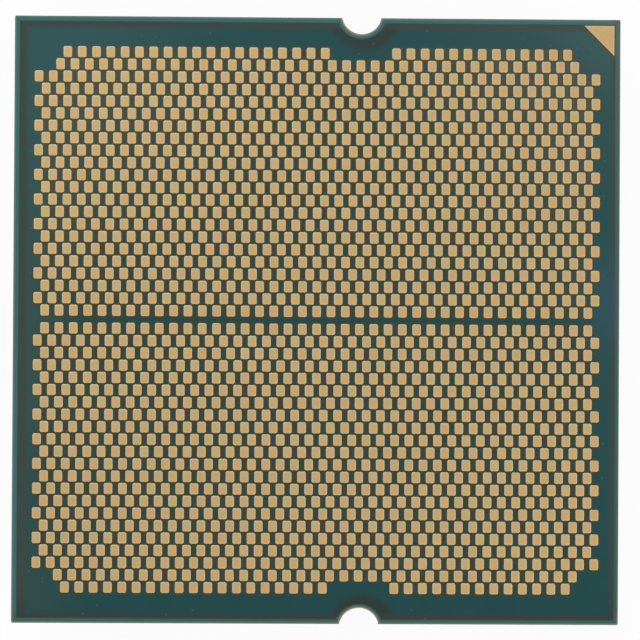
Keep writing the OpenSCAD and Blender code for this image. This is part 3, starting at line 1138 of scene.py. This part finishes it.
def resin_fillet(die):
    """A ring of resin in the corner between a die's sides and the resin under it."""
    lo, hi = (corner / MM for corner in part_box(die))
    vertices = []
    starts = []
    for out, climb in hollow_section(RESIN_SPREAD, RESIN_CLIMB) + [(0.0, 0.0)]:
        starts.append(len(vertices))
        vertices += [(x, y, hi.z - climb) for x, y in grown_rectangle(lo, hi, max(out, LEAST_OUT))]
    faces = []
    for here, there in zip(starts, starts[1:] + starts[:1]):
        faces += ring_band(here, there, starts[1])
    return new_piece(die + "_resin_fillet", vertices, faces, resin)


fillets = [resin_fillet(die) for die in dies]
print("fillets:", [piece.name for piece in fillets])

# %% [markdown]
# ## Capacitors
# Four banks of ceramic chips sit on the board between the lid's arms. Each is a fired brown block with
# tinned ends. A plain brown and a plain grey would look like painted wood from close by. Fired ceramic has
# dark grains in it, so its finish adds specks to the clouds, and the tin is a bright metal with a soft
# grain.

# %% Capacitors
CERAMIC = srgb(146, 118, 92)
CERAMIC_DARK = srgb(126, 99, 76)
CERAMIC_SPECK = srgb(96, 74, 56)
TIN = srgb(202, 202, 199)
TIN_DULL = srgb(178, 178, 175)
SIDES = ["north", "west", "south", "east"]

ceramic, tree, shader = new_finish("capacitor_ceramic_finish", Specular_IOR_Level=0.35)
fired = lay(tree, clouds(tree, patch=0.3), CERAMIC, CERAMIC_DARK)
speckled = lay(tree, specks(tree, spacing=0.12, radius=0.02, share=0.3), fired, CERAMIC_SPECK)
tree.links.new(speckled, shader.inputs["Base Color"])
add_grain(tree, shader, grain=0.03, low=0.45, high=0.65, depth=0.003)
tin, tree, shader = two_tone("terminal_tin_finish", TIN, TIN_DULL, patch=0.25, Metallic=1.0)
add_grain(tree, shader, grain=0.04, low=0.28, high=0.45, depth=0.003)

for side in SIDES:
    dress("capacitor_bodies_" + side, ceramic, edge=0.05, segments=2)
    dress("capacitor_terminals_" + side, tin, edge=0.06, segments=3)
print("finishes:", ceramic.name, tin.name, "on", len(SIDES), "banks")

# %% [markdown]
# ## Finding each chip
# A bank is one solid object with many separate blocks in it, and the solder needs the box of each block.
# The places could be worked out from the sizes again, but the mesh already holds them. Corners that share a
# face belong to the same block, so joining them face by face leaves one set of corners for each block.

# %% Finding each chip
PLACE_DIGITS = 4


def block_boxes(node):
    """Lowest and highest corner of each separate block in a node, in millimetres."""
    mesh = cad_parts[node].data
    points = np.array([vertex.co for vertex in mesh.vertices]) / MM
    keys = [tuple(key) for key in np.round(points, PLACE_DIGITS)]
    block_of = {key: {key} for key in keys}
    for polygon in mesh.polygons:
        joined = set().union(*(block_of[keys[i]] for i in polygon.vertices))
        for key in joined:
            block_of[key] = joined
    blocks = [list(block) for block in {frozenset(block) for block in block_of.values()}]
    return sorted((np.min(block, axis=0).tolist(), np.max(block, axis=0).tolist()) for block in blocks)


chip_boxes = {side: block_boxes("capacitor_bodies_" + side) for side in SIDES}
print("chips:", {side: len(boxes) for side, boxes in chip_boxes.items()})

# %% [markdown]
# ## Fillets of solder
# The solder that holds a chip draws up into a hollow fillet at each end. It has the same hollow section as
# the resin, but it is straight, so it is a short bar: the section at both ends, and one face between each
# pair of points. Half of the bars face the other way, and a mirrored bar turns inside out, so its faces are
# turned back.

# %% Fillets of solder
SOLDER_CLIMB = 0.42
SOLDER_SPREAD = 0.17
SOLDER_INSET = 0.04


def bar_faces(start, count):
    """Faces of a bar between two sections of count vertices each, the first of which begins at start."""
    near = [start + i for i in range(count)]
    far = [start + count + i for i in range(count)]
    sides = [(near[i], far[i], far[(i + 1) % count], near[(i + 1) % count]) for i in range(count)]
    return [tuple(near), tuple(reversed(far))] + sides


def solder_fillets(side):
    """The solder at every terminal of one bank, as one piece."""
    along = 0 if side in ("north", "south") else 1
    across = 1 - along
    middles = [(lo[along] + hi[along]) / 2 for lo, hi in chip_boxes[side]]
    section = [(0.0, 0.0)] + hollow_section(SOLDER_SPREAD, SOLDER_CLIMB)
    vertices = []
    faces = []
    for lo, hi in block_boxes("capacitor_terminals_" + side):
        here = (lo[along] + hi[along]) / 2
        nearest = min(middles, key=lambda middle: abs(middle - here))
        outwards = 1 if here > nearest else -1
        end = hi[along] if outwards > 0 else lo[along]
        bar = bar_faces(len(vertices), len(section))
        for width in (lo[across] + SOLDER_INSET, hi[across] - SOLDER_INSET):
            for out, climb in section:
                point = [0.0, 0.0, hi[2] - climb]
                point[along] = end + outwards * out
                point[across] = width
                vertices.append(point)
        mirrored = (outwards > 0) == (along == 1)
        faces += [tuple(reversed(face)) for face in bar] if mirrored else bar
    return new_piece("solder_fillets_" + side, vertices, faces, tin, smooth=False)


solder = [solder_fillets(side) for side in SIDES]
print("solder:", {piece.name: len(piece.data.polygons) for piece in solder})

# %% [markdown]
# ## The sky
# The package lies under soft light from all sides. An image of a studio could light it, but a plain white
# dome casts no colour. The dome is full white to the camera and in reflections, and dimmer for the light
# that it scatters on matt surfaces, so that the lamps have something left to shape.

# %% The sky
SKY_LEVEL = 0.66


def seen_directly(tree):
    """1 for rays from the camera, from a reflection or through glass, and 0 for scattered light."""
    path = put(tree, "ShaderNodeLightPath").outputs
    mirrored = calc(tree, "MAXIMUM", path["Is Glossy Ray"], path["Is Transmission Ray"])
    return calc(tree, "MAXIMUM", path["Is Camera Ray"], mirrored)


world = bpy.data.worlds.new("white_dome")
bpy.context.scene.world = world
world.use_nodes = True
tree = world.node_tree
background = tree.nodes["Background"]
background.inputs["Color"].default_value = srgb(255, 255, 255)
tree.links.new(span(tree, seen_directly(tree), SKY_LEVEL, 1.0), background.inputs["Strength"])
print("sky level for matt surfaces:", SKY_LEVEL)

# %% [markdown]
# ## The floor
# The lid rests on a wide sheet of white paper. Plain paper turns grey in the package's own shade, and more
# light would bleach the package. So the sheet glows, but only to the camera and in reflections, and a small
# share of it stays paper, which keeps a faint shadow. It lies a hair below the lid, so that the two faces
# don't fight.

# %% The floor
FLOOR_HALF = 900.0
FLOOR_DROP = 0.02
FLOOR_GLOW = 0.92

floor_finish = bpy.data.materials.new("white_sweep")
floor_finish.use_nodes = True
tree = floor_finish.node_tree
tree.nodes.clear()
paper = put(tree, "ShaderNodeBsdfDiffuse", {"Color": srgb(254, 254, 254)})
glow = put(tree, "ShaderNodeEmission", {"Color": srgb(255, 255, 255), "Strength": 1.0})
glow_share = calc(tree, "MULTIPLY", seen_directly(tree), FLOOR_GLOW)
sheet = put(tree, "ShaderNodeMixShader", {0: glow_share, 1: paper.outputs[0], 2: glow.outputs[0]})
put(tree, "ShaderNodeOutputMaterial", {"Surface": sheet.outputs[0]})

corners = [(-1, -1), (1, -1), (1, 1), (-1, 1)]
floor_points = [(east * FLOOR_HALF, north * FLOOR_HALF, -FLOOR_DROP) for east, north in corners]
floor_mesh = bpy.data.meshes.new("floor")
floor_mesh.from_pydata([Vector(point) * MM for point in floor_points], [], [(0, 1, 2, 3)])
floor_mesh.materials.append(floor_finish)
floor = bpy.data.objects.new("floor", floor_mesh)
bpy.context.scene.collection.objects.link(floor)
print("floor:", 2 * FLOOR_HALF, "mm wide")

# %% [markdown]
# ## The lamps
# Two large soft lamps give the rest of the light, one from behind and a weaker one from the front. Lamps
# are often set by eye. Here a lamp's power follows from its distance and slant, so that the sky and both
# lamps together give a sheet that faces up exactly the light which shows a colour as it is written.

# %% The lamps
LAMP_SIZE = 630.0


def soft_lamp(name, place_mm, level):
    """A square lamp aimed at the package. Level is the share of full light it gives a sheet facing up."""
    data = bpy.data.lights.new(name, "AREA")
    data.size = LAMP_SIZE * MM
    lamp = bpy.data.objects.new(name, data)
    lamp.location = Vector(place_mm) * MM
    distance = lamp.location.length
    slant = lamp.location.z / distance
    data.energy = level * (math.pi * distance) ** 2 / slant
    lamp.rotation_euler = lamp.location.to_track_quat("Z", "Y").to_euler()
    bpy.context.scene.collection.objects.link(lamp)
    return lamp


key_lamp = soft_lamp("key_lamp", place_mm=(-300, 495, 570), level=0.22)
fill_lamp = soft_lamp("fill_lamp", place_mm=(495, -330, 510), level=0.12)
print("lamp watts:", round(key_lamp.data.energy, 2), round(fill_lamp.data.energy, 2))

# %% [markdown]
# ## Colour view
# The render shows each colour as it is written, so the view transform is the plain Standard one, with no
# film-like curve over it.

# %% Colour view
bpy.context.scene.view_settings.view_transform = "Standard"
